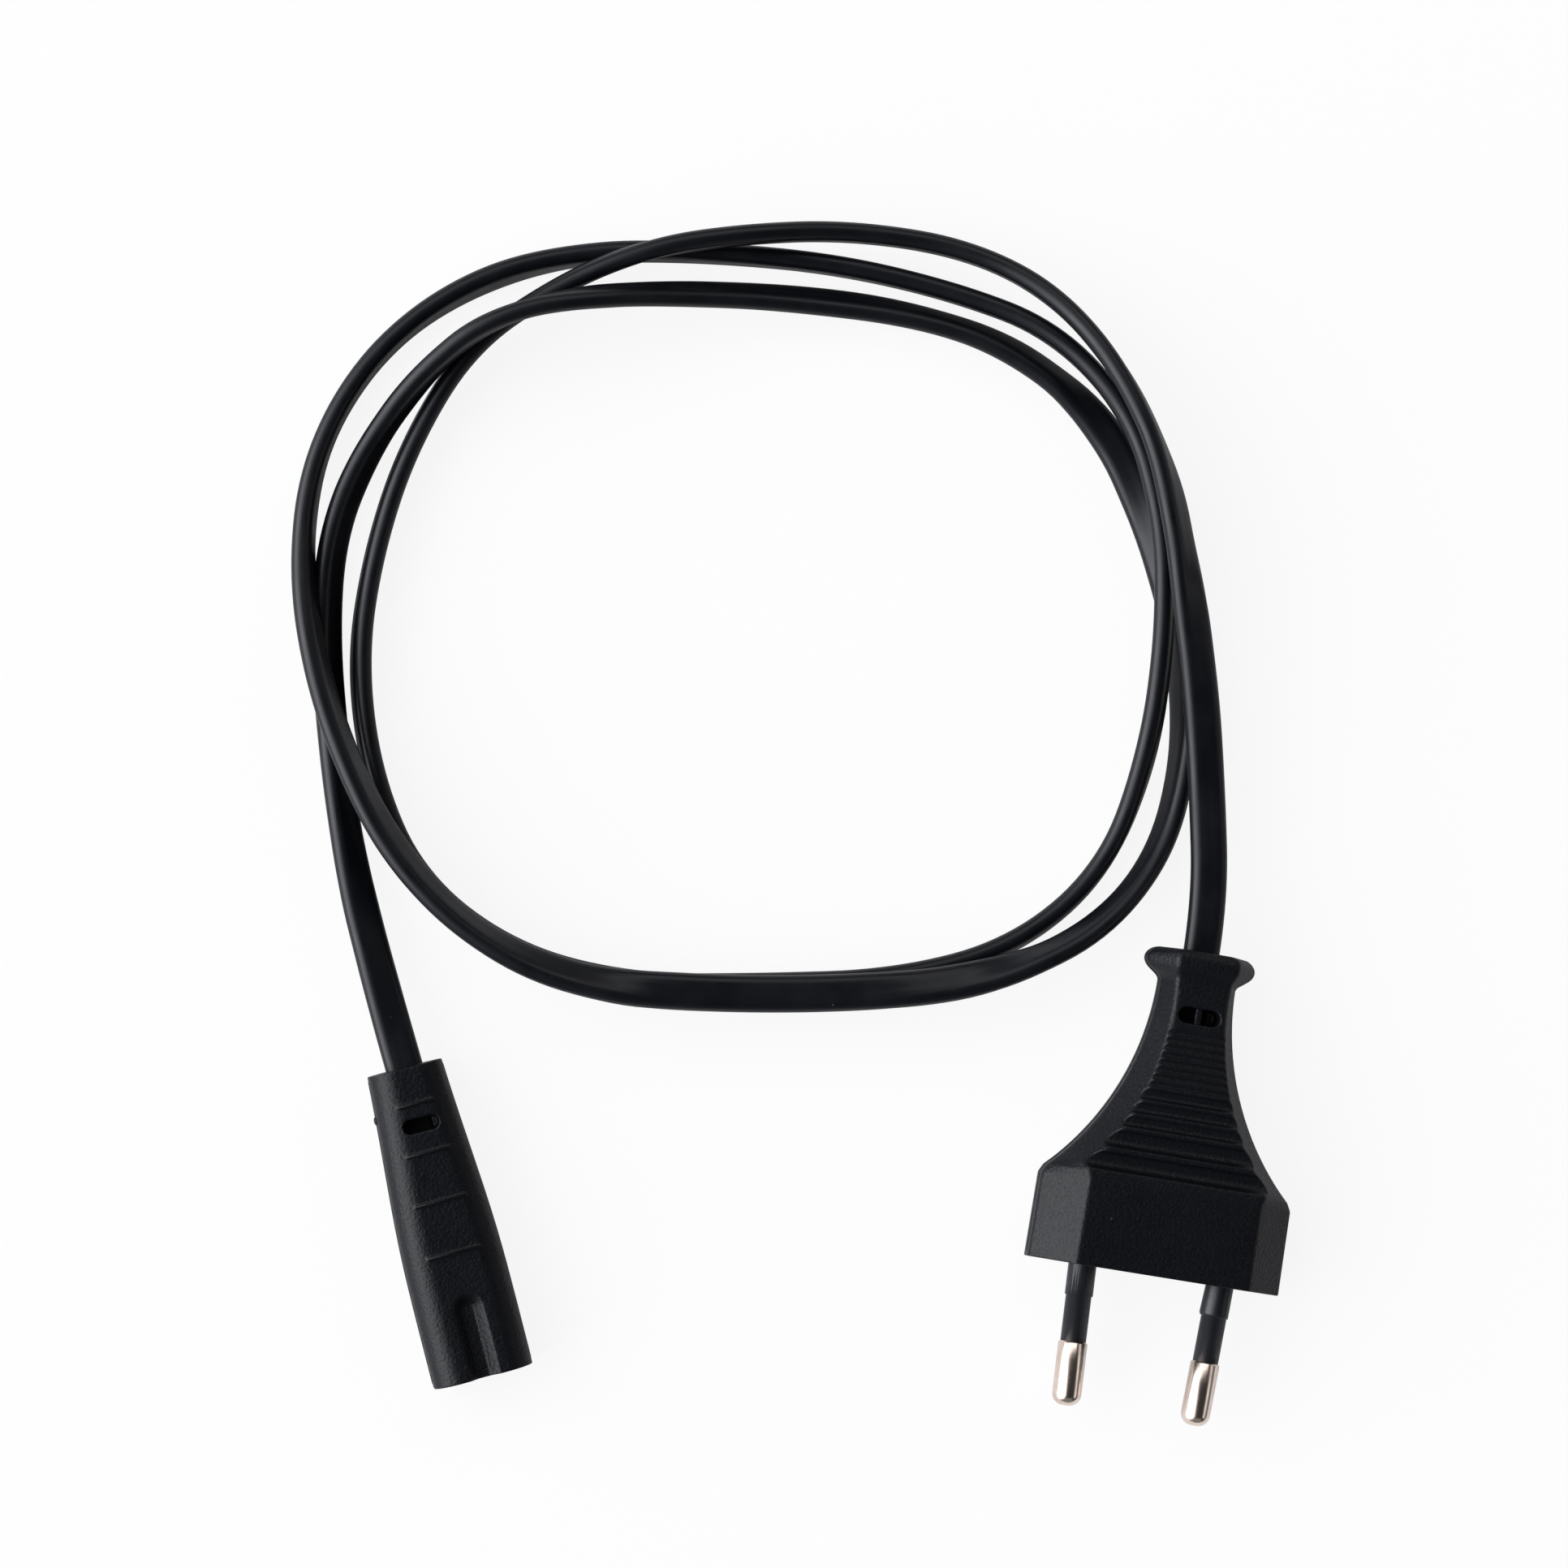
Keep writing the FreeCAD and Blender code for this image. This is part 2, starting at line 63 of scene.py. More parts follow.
# Sizes that the model repeats from the part, in millimetres
MM = 0.001
SHEATH_WIDTH = 5.1
SHEATH_THICKNESS = 2.6
CONNECTOR_REAR = 21.3
CONNECTOR_TOP = 8.2
PLUG_FACE = Vector((91.4, -31.8, 6.85))
PLUG_TURN = -23.9
PLUG_AHEAD = Vector((-math.sin(math.radians(PLUG_TURN)), math.cos(math.radians(PLUG_TURN)), 0.0))
PIN_LEAN = 2.0

# Pin sleeves: a point on each one's axis and the axis's direction. Walls outside the bore get a new
# radius and a share of the part's step at the base.
SLEEVE_AXES = {
    "live_pin_sleeve": (Vector((77.254, -40.999, 6.85)), Vector((-0.372988, -0.927836, 0.0))),
    "neutral_pin_sleeve": (Vector((94.088, -48.459, 6.85)), Vector((-0.436802, -0.899558, 0.0))),
}
SLEEVE_BORE_LIMIT = 1.6
SLEEVE_PART_RADIUS = 1.65
SLEEVE_RADIUS = 1.76
SLEEVE_STEP_SHARE = 0.31

# Lines across the connector's top: each one's distance from the rear and its length, then their section
# and their sloping ends
RAISED_LINES = ((4.9, 5.1), (11.6, 6.1), (18.3, 7.1), (25.4, 7.5))
LINE_WIDTH = 0.34
LINE_RISE = 0.26
LINE_SINK = 0.5
LINE_ROUNDING = 0.15
LINE_END_INSET = 0.16
LINE_END_SLOPE = 0.25
LINE_END_DROP = 0.286

# Line where a mould's halves met: its section, the depth of its middle under the surface, its run on
# both mouldings, the mark of the connector's gate, and how far outside the rays that find it start
PARTING_WIDTH = 0.28
PARTING_HEIGHT = 0.22
PARTING_ROUNDING = 0.08
PARTING_DEPTH = 0.06
PARTING_STEPS = 90
CONNECTOR_PARTING_START = Vector((0.0, -20.6, 4.1))
CONNECTOR_PARTING_LENGTH = 41.2
PLUG_PARTING_INSET = 0.8
PLUG_PARTING_LENGTH = 42.9
GATE_PLACE = 35.9
GATE_RADIUS = 0.6
RAY_START = 30.0

# Photograph's axes in the row frame, its centre and width in metres, and its camera
PHOTO_RIGHT = Vector((0.9678, -0.2519, 0.0))
PHOTO_UP = Vector((0.2519, 0.9678, 0.0))
PHOTO_CENTRE = Vector((60.28, 45.64, 0.0)) * MM
PHOTO_WIDTH = 0.214667
CAMERA_SIDE = Vector((-0.1665, -0.0108, 1.0))
CAMERA_DISTANCE = 0.7
SENSOR_WIDTH = 36.0

# Route of the flex from the connector to the plug: x, y, z in millimetres and the roll of its flat
# section in degrees, 0 lying flat and 90 standing on edge
ROUTE = [
    (0.0, 21.3, 4.1, 180), (-0.3, 32.3, 4.0, 158), (-0.2, 49.0, 2.9, 138), (1.5, 64.5, 2.5, 134),
    (4.0, 79.5, 2.5, 130), (8.5, 93.5, 2.7, 126), (16.5, 104.0, 3.6, 112), (26.5, 112.0, 7.2, 98),
    (36.0, 116.0, 10.2, 84), (47.5, 116.0, 10.6, 66), (61.0, 114.0, 6.4, 58), (77.5, 110.0, 2.7, 52),
    (93.5, 104.0, 2.6, 60), (106.5, 96.0, 2.4, 48), (116.0, 83.5, 1.9, 0), (119.0, 68.0, 2.1, -35),
    (119.0, 51.5, 2.5, -60), (115.5, 36.0, 2.7, -72), (107.5, 22.5, 4.4, -75), (94.0, 14.5, 7.3, -64),
    (77.0, 13.0, 7.4, -20), (60.0, 16.0, 7.1, 0), (42.5, 20.5, 7.0, 0), (26.0, 26.0, 7.1, -38),
    (13.5, 35.5, 7.6, -53), (5.5, 49.0, 7.8, -50), (2.0, 64.5, 7.9, -58), (1.5, 80.0, 7.0, -64),
    (4.5, 95.0, 3.8, -73), (11.0, 107.5, 2.7, -80), (22.5, 117.5, 2.6, -80), (37.0, 122.5, 2.6, -75),
    (52.5, 122.5, 2.7, -86), (68.5, 118.5, 2.7, -90), (85.0, 113.0, 2.7, -92), (100.0, 105.5, 2.9, -95),
    (112.0, 97.0, 4.4, -97), (119.0, 83.5, 6.5, -102), (119.5, 68.0, 7.0, -108), (116.0, 53.0, 6.7, -110),
    (110.0, 37.0, 3.9, -113), (100.0, 23.0, 2.6, -101), (85.0, 16.0, 2.6, -100), (68.0, 16.0, 2.6, -98),
    (50.0, 20.0, 2.6, -98), (32.5, 24.5, 2.6, -98), (18.0, 32.5, 2.6, -98), (8.0, 45.0, 2.6, -98),
    (5.5, 60.0, 2.7, -95), (7.5, 76.0, 2.7, -95), (13.5, 90.0, 2.7, -92), (21.5, 102.5, 2.9, -92),
    (32.5, 113.5, 4.2, -92), (45.5, 118.5, 5.0, -95), (58.0, 120.5, 8.0, -100), (71.5, 119.5, 8.0, -92),
    (87.0, 117.0, 5.0, -92), (102.5, 111.0, 4.4, -94), (112.5, 102.0, 7.0, -98),
    (118.0, 89.5, 10.6, -102), (120.5, 75.0, 12.0, -110), (119.5, 59.5, 11.6, -136),
    (118.0, 44.0, 9.7, -168), (115.5, 29.5, 8.0, -180), (112.67, 16.2, 6.85, -180),
    (109.43, 8.88, 6.85, -180),
]

# Light of the room: brightness of its walls, ceiling and left side, and the angles of that bright side
LOW_WALL = 0.25
CEILING = 0.03
WALL_TOP = 0.35
BRIGHT_SIDE = 4.3
BRIGHT_SIDE_RISE = math.radians(23)
BRIGHT_SIDE_CORE = math.radians(26)
BRIGHT_SIDE_EDGE = math.radians(52)
LIGHT_TINT = (0.97, 0.98, 1.04)
LAMP_DISTANCE = 0.9

# Floor: its half width and its place under the object, and how white the camera and mirrors see it
FLOOR_HALF = 6.0
FLOOR_DROP = -0.0001
FLOOR_SEEN = 0.89
FLOOR_MIRRORED = 0.12

NO_DUST = (0.0, 0.0, 0.0)


# Materials

def node(tree, kind, inputs=None, **settings):
    """New node of a tree with its settings, and its inputs set or linked."""
    made = tree.nodes.new(kind)
    for key, value in settings.items():
        setattr(made, key, value)
    for key, value in (inputs or {}).items():
        if isinstance(value, bpy.types.NodeSocket):
            tree.links.new(value, made.inputs[key])
        else:
            made.inputs[key].default_value = value
    return made


def ramp(tree, factor, stops):
    """Colour ramp over the factor, with stops of (place, colour)."""
    made = node(tree, "ShaderNodeValToRGB", {"Fac": factor})
    elements = made.color_ramp.elements
    while len(elements) < len(stops):
        elements.new(0.5)
    for element, (place, colour) in zip(elements, stops):
        element.position = place
        element.color = (*colour, 1.0)
    return made.outputs["Color"]


def spread(tree, value, low, high, from_low=0.3, from_high=0.7):
    """Value mapped from its usual range to another."""
    inputs = {"Value": value, "From Min": from_low, "From Max": from_high, "To Min": low, "To Max": high}
    return node(tree, "ShaderNodeMapRange", inputs).outputs["Result"]


def start_material(name):
    """Empty material with its tree and its shader."""
    made = bpy.data.materials.new(name)
    made.use_nodes = True
    return made, made.node_tree, made.node_tree.nodes["Principled BSDF"]


def noise(tree, vector, scale, detail=2.0, roughness=0.5):
    """Value of a noise texture."""
    inputs = {"Vector": vector, "Scale": scale, "Detail": detail, "Roughness": roughness}
    return node(tree, "ShaderNodeTexNoise", inputs).outputs["Fac"]


def calculated(tree, operation, first, second):
    """Value of a math node on two values."""
    return node(tree, "ShaderNodeMath", {0: first, 1: second}, operation=operation).outputs["Value"]


def moulded_plastic(name, dark, light, dust, rough, grain, specular):
    """Moulded plastic: fine spark-eroded grain, faint mottling and a few specks of dust."""
    made, tree, shader = start_material(name)
    coords = node(tree, "ShaderNodeTexCoord").outputs["Object"]
    mottle = noise(tree, coords, scale=140.0, detail=4.0, roughness=0.6)
    base = ramp(tree, mottle, [(0.3, dark), (0.7, light)])
    cells = node(tree, "ShaderNodeTexVoronoi", {"Vector": coords, "Scale": 190.0}).outputs["Distance"]
    speck = ramp(tree, cells, [(0.014, dust), (0.026, NO_DUST)])
    mixed = node(tree, "ShaderNodeMixRGB", {"Fac": 1.0, "Color1": base, "Color2": speck}, blend_type="ADD")
    tree.links.new(mixed.outputs["Color"], shader.inputs["Base Color"])
    fine = noise(tree, coords, scale=3600.0, detail=2.0, roughness=0.6)
    tree.links.new(spread(tree, fine, rough - 0.07, rough + 0.07), shader.inputs["Roughness"])
    coarse = noise(tree, coords, scale=2400.0, detail=1.0)
    low = node(tree, "ShaderNodeBump", {"Strength": grain, "Distance": 0.00012, "Height": coarse})
    high = node(tree, "ShaderNodeBump", {
        "Strength": grain, "Distance": 0.00005, "Height": fine, "Normal": low.outputs["Normal"],
    })
    tree.links.new(high.outputs["Normal"], shader.inputs["Normal"])
    shader.inputs["Specular IOR Level"].default_value = specular
    return made


def extruded_sheath(name, dark, light, rough):
    """Satin extruded sheath: fine lines along the flex, soft mottling and a few specks."""
    made, tree, shader = start_material(name)
    uv = node(tree, "ShaderNodeTexCoord").outputs["UV"]
    stretched = node(tree, "ShaderNodeMapping", {"Vector": uv, "Scale": (1.0, 0.03, 1.0)}).outputs["Vector"]
    lines = noise(tree, stretched, scale=1.6, detail=3.0, roughness=0.6)
    mottle = noise(tree, uv, scale=0.12, detail=4.0, roughness=0.6)
    base = ramp(tree, mottle, [(0.3, dark), (0.7, light)])
    cells = node(tree, "ShaderNodeTexVoronoi", {"Vector": uv, "Scale": 0.16}).outputs["Distance"]
    speck = ramp(tree, cells, [(0.012, (0.09, 0.09, 0.09)), (0.022, NO_DUST)])
    mixed = node(tree, "ShaderNodeMixRGB", {"Fac": 1.0, "Color1": base, "Color2": speck}, blend_type="ADD")
    tree.links.new(mixed.outputs["Color"], shader.inputs["Base Color"])
    tree.links.new(spread(tree, mottle, rough - 0.05, rough + 0.08), shader.inputs["Roughness"])
    fine = noise(tree, uv, scale=2.2, detail=2.0)
    along = node(tree, "ShaderNodeBump", {"Strength": 0.12, "Distance": 0.0001, "Height": lines})
    skin = node(tree, "ShaderNodeBump", {
        "Strength": 0.1, "Distance": 0.00006, "Height": fine, "Normal": along.outputs["Normal"],
    })
    tree.links.new(skin.outputs["Normal"], shader.inputs["Normal"])
    shader.inputs["Specular IOR Level"].default_value = 0.28
    return made


def turned_metal(name, dull, bright, rough, turn):
    """Turned metal with fine rings round an axis that lies in the plan, turned from Y by an angle."""
    made, tree, shader = start_material(name)
    coords = node(tree, "ShaderNodeTexCoord").outputs["Object"]
    inputs = {"Vector": coords, "Rotation": (0.0, 0.0, -math.radians(turn)), "Scale": (40.0, 6000.0, 40.0)}
    along = node(tree, "ShaderNodeMapping", inputs, vector_type="POINT").outputs["Vector"]
    rings = noise(tree, along, scale=1.0, detail=2.0)
    tarnish = noise(tree, coords, scale=420.0, detail=4.0, roughness=0.6)
    base = ramp(tree, tarnish, [(0.3, dull), (0.62, bright)])
    tree.links.new(base, shader.inputs["Base Color"])
    tree.links.new(spread(tree, tarnish, rough + 0.06, rough - 0.04), shader.inputs["Roughness"])
    bump = node(tree, "ShaderNodeBump", {"Strength": 0.08, "Distance": 0.00003, "Height": rings})
    tree.links.new(bump.outputs["Normal"], shader.inputs["Normal"])
    shader.inputs["Metallic"].default_value = 1.0
    return made


BODY_PVC = moulded_plastic(
    "moulded_pvc", dark=(0.0014, 0.0017, 0.0027), light=(0.0022, 0.0026, 0.0039), dust=(0.07, 0.07, 0.072),
    rough=0.43, grain=0.65, specular=0.2,
)
INSERT = moulded_plastic(
    "hard_insert", dark=(0.008, 0.008, 0.009), light=(0.012, 0.012, 0.013), dust=(0.04, 0.04, 0.04),
    rough=0.42, grain=0.25, specular=0.45,
)
SLEEVE = moulded_plastic(
    "pin_sleeve", dark=(0.006, 0.0068, 0.009), light=(0.008, 0.009, 0.0115), dust=(0.05, 0.05, 0.05),
    rough=0.34, grain=0.06, specular=0.34,
)
LIVE_SKIN = moulded_plastic(
    "live_insulation", dark=(0.16, 0.065, 0.025), light=(0.22, 0.09, 0.035), dust=(0.1, 0.1, 0.1),
    rough=0.42, grain=0.1, specular=0.5,
)
NEUTRAL_SKIN = moulded_plastic(
    "neutral_insulation", dark=(0.02, 0.1, 0.33), light=(0.03, 0.14, 0.42), dust=(0.1, 0.1, 0.1),
    rough=0.42, grain=0.1, specular=0.5,
)
FLEX_SHEATH = extruded_sheath(
    "flex_sheath", dark=(0.0016, 0.002, 0.0033), light=(0.0026, 0.0031, 0.0048), rough=0.37,
)
SHEATH_PVC = moulded_plastic(
    "sheath_end", dark=(0.0016, 0.0017, 0.002), light=(0.0026, 0.0028, 0.0033), dust=(0.02, 0.02, 0.02),
    rough=0.45, grain=0.1, specular=0.12,
)
PLATE_DULL = (0.68, 0.55, 0.47)
PLATE_BRIGHT = (0.84, 0.72, 0.63)
LIVE_PLATE = turned_metal(
    "live_plate", dull=PLATE_DULL, bright=PLATE_BRIGHT, rough=0.2, turn=PLUG_TURN + PIN_LEAN,
)
NEUTRAL_PLATE = turned_metal(
    "neutral_plate", dull=PLATE_DULL, bright=PLATE_BRIGHT, rough=0.2, turn=PLUG_TURN - PIN_LEAN,
)
BRASS = turned_metal(
    "contact_brass", dull=(0.55, 0.36, 0.13), bright=(0.82, 0.6, 0.27), rough=0.24, turn=0.0,
)
COPPER = turned_metal(
    "copper_strands", dull=(0.5, 0.22, 0.12), bright=(0.8, 0.42, 0.27), rough=0.3, turn=0.0,
)


# Pieces

def add_piece(name, mesh, material, replaces=()):
    """Piece at the origin that rides on the one body."""
    piece = bpy.data.objects.new(name, mesh)
    scene.collection.objects.link(piece)
    mesh.materials.clear()
    mesh.materials.append(material)
    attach(piece, "root")
    if replaces:
        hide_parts(*replaces)
    return piece


def baked(obj):
    """Mesh of an object with its modifiers applied."""
    bpy.context.view_layer.update()
    return bpy.data.meshes.new_from_object(obj.evaluated_get(bpy.context.evaluated_depsgraph_get()))


def merged_mesh(node_name):
    """Copy of a part's mesh with its loose triangles joined."""
    work = bmesh.new()
    work.from_mesh(frame["nodes"][node_name].data)
    bmesh.ops.remove_doubles(work, verts=work.verts, dist=0.002 * MM)
    mesh = bpy.data.meshes.new(node_name + "_mesh")
    work.to_mesh(mesh)
    work.free()
    return mesh


def shade(mesh, angle=None):
    """Smooth shading, kept crisp where faces meet at more than the angle."""
    mesh.polygons.foreach_set("use_smooth", [True] * len(mesh.polygons))
    if angle is not None:
        mesh.set_sharp_from_angle(angle=math.radians(angle))


def smooth_copy(node_name, material):
    """Crisp piece such as a pin or sleeve: the part's own surface with smooth shading."""
    mesh = merged_mesh(node_name)
    shade(mesh, angle=32)
    return add_piece(node_name + "_skin", mesh, material, [node_name])


def moulded_copy(node_name, material, voxel, rounding, keep):
    """Moulded piece: the part's surface with all its edges softened as a mould leaves them."""
    work = bpy.data.objects.new(node_name + "_work", merged_mesh(node_name))
    scene.collection.objects.link(work)
    remesh = work.modifiers.new("remesh", "REMESH")
    remesh.mode = "VOXEL"
    remesh.voxel_size = voxel * MM
    soften = work.modifiers.new("soften", "SMOOTH")
    soften.factor = 0.5
    soften.iterations = rounding
    thin = work.modifiers.new("thin", "DECIMATE")
    thin.ratio = keep
    mesh = baked(work)
    mesh.name = node_name + "_moulded"
    bpy.data.objects.remove(work)
    shade(mesh)
    return add_piece(node_name + "_moulded", mesh, material, [node_name])


def slim_sleeve(node_name):
    """Pin sleeve with the slight step that the photograph shows at its base."""
    piece = smooth_copy(node_name, SLEEVE)
    middle, ahead = SLEEVE_AXES[node_name]
    middle = middle * MM
    for vertex in piece.data.vertices:
        offset = vertex.co - middle
        along = ahead * offset.dot(ahead)
        radius = (offset - along).length / MM
        if radius > SLEEVE_BORE_LIMIT:
            slim = SLEEVE_RADIUS + (radius - SLEEVE_PART_RADIUS) * SLEEVE_STEP_SHARE
            vertex.co = middle + along + (offset - along) * (slim / radius)
    return piece


def route_samples():
    """Points along the flex's smooth line, read from its spline."""
    curve = bpy.data.curves.new("flex_route", "CURVE")
    curve.dimensions = "3D"
    spline = curve.splines.new("NURBS")
    spline.points.add(len(ROUTE) - 1)
    for point, (x, y, z, _) in zip(spline.points, ROUTE):
        point.co = (x * MM, y * MM, z * MM, 1.0)
    spline.order_u = 3
    spline.use_endpoint_u = True
    spline.resolution_u = 10
    obj = bpy.data.objects.new("flex_route", curve)
    scene.collection.objects.link(obj)
    mesh = baked(obj)
    points = [vertex.co.copy() for vertex in mesh.vertices]
    bpy.data.objects.remove(obj)
    bpy.data.meshes.remove(mesh)
    return points


def roll_at(share):
    """Roll of the section at a share of the route, eased between the route's points."""
    place = share * (len(ROUTE) - 1)
    index = min(int(place), len(ROUTE) - 2)
    ease = place - index
    ease = ease * ease * (3 - 2 * ease)
    return math.radians(ROUTE[index][3] * (1 - ease) + ROUTE[index + 1][3] * ease)


def sheath_outline(steps=9, flat=0.33, waist=0.985):
    """Round-ended outline of the flat sheath, in metres, a little hollow where its flats are."""
    radius = SHEATH_THICKNESS / 2
    reach = (SHEATH_WIDTH - SHEATH_THICKNESS) / 2
    outline = []
    for side in (1, -1):
        for k in range(steps):
            angle = math.pi * (k / (steps - 1) - 0.5)
            outline.append((side * (reach + radius * math.cos(angle)), side * radius * math.sin(angle)))
        outline.append((side * reach * flat, side * radius * waist))
        outline.append((-side * reach * flat, side * radius * waist))
    return [(x * MM, z * MM) for x, z in outline]


def flex_mesh(points):
    """Tube of the flat section along the points, rolled as the flex lies."""
    outline = sheath_outline()
    perimeter = [0.0]
    for a, b in zip(outline, outline[1:] + outline[:1]):
        perimeter.append(perimeter[-1] + math.dist(a, b))
    work = bmesh.new()
    rings, travelled = [], [0.0]
    for i, point in enumerate(points):
        if i:
            travelled.append(travelled[-1] + (point - points[i - 1]).length)
        ahead = (points[min(i + 1, len(points) - 1)] - points[max(i - 1, 0)]).normalized()
        across = ahead.cross(Vector((0, 0, 1))).normalized()
        above = across.cross(ahead)
        roll = roll_at(i / (len(points) - 1))
        wide = across * math.cos(roll) + above * math.sin(roll)
        thin = above * math.cos(roll) - across * math.sin(roll)
        rings.append([work.verts.new(point + wide * x + thin * z) for x, z in outline])
    layer = work.loops.layers.uv.new("sheath")
    count = len(outline)
    for i, (ring, following) in enumerate(zip(rings, rings[1:])):
        for k in range(count):
            after = (k + 1) % count
            face = work.faces.new((ring[k], ring[after], following[after], following[k]))
            corners = [(k, i), (k + 1, i), (k + 1, i + 1), (k, i + 1)]
            for loop, (around, along) in zip(face.loops, corners):
                loop[layer].uv = (perimeter[around] / MM, travelled[along] / MM)
    work.faces.new(list(reversed(rings[0])))
    work.faces.new(rings[-1])
    bmesh.ops.recalc_face_normals(work, faces=work.faces)
    mesh = bpy.data.meshes.new("flex_flat")
    work.to_mesh(mesh)
    work.free()
    shade(mesh, angle=50)
    return mesh


def bar_tree():
    """Geometry nodes that run a round-edged bar along every edge line of a mesh."""
    tree = bpy.data.node_groups.new("moulded_bar", "GeometryNodeTree")
    tree.interface.new_socket("Geometry", in_out="INPUT", socket_type="NodeSocketGeometry")
    for size_name in ("Width", "Height", "Rounding"):
        tree.interface.new_socket(size_name, in_out="INPUT", socket_type="NodeSocketFloat")
    tree.interface.new_socket("Geometry", in_out="OUTPUT", socket_type="NodeSocketGeometry")
    given = tree.nodes.new("NodeGroupInput").outputs
    path = node(tree, "GeometryNodeMeshToCurve", {"Mesh": given["Geometry"]}).outputs["Curve"]
    section = node(tree, "GeometryNodeCurvePrimitiveQuadrilateral", {
        "Width": given["Width"], "Height": given["Height"],
    }).outputs["Curve"]
    rounded = node(tree, "GeometryNodeFilletCurve", {
        "Curve": section, "Radius": given["Rounding"], "Count": 5,
    }, mode="POLY").outputs["Curve"]
    bar = node(tree, "GeometryNodeCurveToMesh", {
        "Curve": path, "Profile Curve": rounded, "Fill Caps": True,
    }).outputs["Mesh"]
    single = node(tree, "GeometryNodeRealizeInstances", {"Geometry": bar}).outputs["Geometry"]
    made = node(tree, "GeometryNodeSetMaterial", {"Geometry": single, "Material": BODY_PVC})
    tree.links.new(made.outputs["Geometry"], tree.nodes.new("NodeGroupOutput").inputs["Geometry"])
    return tree


def moulded_bars(name, paths, width, height, rounding, gate=None):
    """Piece of bars along paths of points, sized in millimetres, with the mark of a gate, if any."""
    points, edges = [], []
    for path in paths:
        first = len(points)
        points += path
        edges += [(first + k, first + k + 1) for k in range(len(path) - 1)]
    mesh = bpy.data.meshes.new(name + "_paths")
    mesh.from_pydata(points, edges, [])
    paths_object = bpy.data.objects.new(name + "_paths", mesh)
    scene.collection.objects.link(paths_object)
    bars = paths_object.modifiers.new("bars", "NODES")
    bars.node_group = BAR_TREE
    sizes = {"Width": width, "Height": height, "Rounding": rounding}
    for item in BAR_TREE.interface.items_tree:
        if item.name in sizes:
            bars[item.identifier] = sizes[item.name] * MM
    made = baked(paths_object)
    made.name = name
    bpy.data.objects.remove(paths_object)
    work = bmesh.new()
    work.from_mesh(made)
    if gate is not None:
        place = Matrix.Translation(gate) @ Matrix.Diagonal((0.5, 1.0, 1.0, 1.0))
        bmesh.ops.create_uvsphere(work, u_segments=24, v_segments=14, radius=GATE_RADIUS * MM, matrix=place)
    bmesh.ops.recalc_face_normals(work, faces=work.faces)
    work.to_mesh(made)
    work.free()
    shade(made, angle=60)
    return add_piece(name, made, BODY_PVC)


def raised_lines():
    """Thin round-topped lines moulded across the top of the connector, with sloping ends."""
    high = CONNECTOR_TOP + (LINE_RISE - LINE_SINK) / 2
    low = high - LINE_END_DROP
    paths = []
    for from_rear, length in RAISED_LINES:
        y = CONNECTOR_REAR - from_rear
        run = length / 2 - LINE_END_INSET
        level = run - LINE_END_SLOPE
        stations = [(-run, low), (-level, high), (level, high), (run, low)]
        paths.append([Vector((x, y, z)) * MM for x, z in stations])
    height = LINE_RISE + LINE_SINK
    return moulded_bars(
        "connector_raised_lines", paths, width=LINE_WIDTH, height=height, rounding=LINE_ROUNDING,
    )


def parting_line(name, body, start, ahead, length, gate=None):
    """Thin raised line where the mould's halves met, along both sides of a body, with its gate's mark."""
    bpy.context.view_layer.update()
    across = ahead.cross(Vector((0, 0, 1)))
    clear = RAY_START * MM
    paths = []
    for side in (across, -across):
        path = []
        for k in range(PARTING_STEPS + 1):
            outside = start + ahead * (length * k / PARTING_STEPS) + side * clear
            hit, spot, _, _ = body.ray_cast(outside, -side)
            if hit:
                path.append(spot - side * (PARTING_DEPTH * MM))
        paths.append(path)
    mark = None
    if gate is not None:
        mark = body.ray_cast(start + ahead * gate - across * clear, across)[1]
    return moulded_bars(
        name, paths, width=PARTING_WIDTH, height=PARTING_HEIGHT, rounding=PARTING_ROUNDING, gate=mark,
    )


BAR_TREE = bar_tree()
connector = moulded_copy("connector_body", BODY_PVC, voxel=0.14, rounding=4, keep=0.4)
raised_lines()
plug = moulded_copy("plug_body", BODY_PVC, voxel=0.13, rounding=8, keep=0.25)
smooth_copy("contact_carrier", INSERT)
parting_line(
    "connector_parting_line", connector, CONNECTOR_PARTING_START * MM, Vector((0, 1, 0)),
    CONNECTOR_PARTING_LENGTH * MM, GATE_PLACE * MM,
)
plug_line = parting_line(
    "plug_parting_line", plug, PLUG_FACE * MM + PLUG_AHEAD * PLUG_PARTING_INSET * MM, PLUG_AHEAD,
    PLUG_PARTING_LENGTH * MM,
)
for part_name, surface, slot_name in (
    ("live_contact", BRASS, "contact_brass"),
    ("neutral_contact", BRASS, "contact_brass"),
    ("connector_sheath_end", SHEATH_PVC, "flex_sheath"),
):
    smooth_copy(part_name, surface)
for part_name, surface, slot_name in (
    ("live_pin", LIVE_PLATE, "plated_pin"),
    ("neutral_pin", NEUTRAL_PLATE, "plated_pin"),
    ("plug_sheath_end", SHEATH_PVC, "flex_sheath"),
):
    smooth_copy(part_name, surface)
for part_name in SLEEVE_AXES:
    slim_sleeve(part_name)

for part_name, surface in (
    ("connector_live_core", LIVE_SKIN),
    ("connector_neutral_core", NEUTRAL_SKIN),
    ("connector_live_strands", COPPER),
    ("connector_neutral_strands", COPPER),
    ("plug_live_core", LIVE_SKIN),
    ("plug_neutral_core", NEUTRAL_SKIN),
    ("plug_live_strands", COPPER),
    ("plug_neutral_strands", COPPER),
    ("pin_bridge", INSERT),
):
    part = frame["nodes"][part_name]
    part.data.materials.clear()
    part.data.materials.append(surface)

line = route_samples()
flex = add_piece("flex_flat", flex_mesh(line), FLEX_SHEATH, ["flex"])


# Floor, light and camera

